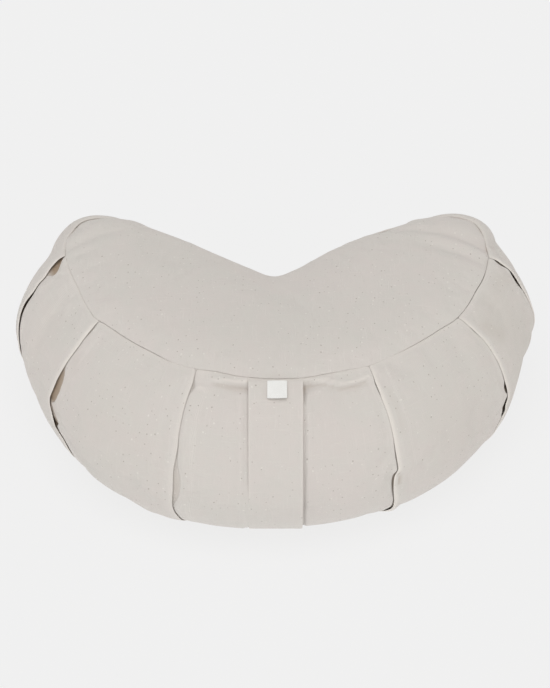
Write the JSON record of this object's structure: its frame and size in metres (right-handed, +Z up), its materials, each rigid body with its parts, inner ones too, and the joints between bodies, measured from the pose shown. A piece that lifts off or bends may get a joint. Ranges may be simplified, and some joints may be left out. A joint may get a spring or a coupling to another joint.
{
  "type": "crescent meditation cushion",
  "caption": "Firmly filled crescent floor cushion in natural cotton canvas, with a knife-pleated band, flat top and bottom panels and a carry strap sewn down the front.",
  "frame": {"origin": "centre of the footprint's bounding box, on the resting face", "axes": "+X to the right across the width, +Y from the strap at the front towards the two tips, +Z up"},
  "size_m": [0.4726, 0.338, 0.169],
  "materials": {
    "band_canvas": "matte natural cotton canvas with sparse dark flecks",
    "panel_canvas": "matte natural cotton canvas with sparse dark flecks",
    "strap_canvas": "matte folded cotton canvas",
    "label_cloth": "smooth white woven tape"
  },
  "bodies": {
    "root": {"cushion_body": "band_canvas", "top_panel": "panel_canvas", "bottom_panel": "panel_canvas", "carry_strap": "strap_canvas", "label_tab": "label_cloth"}
  },
  "joints": []
}
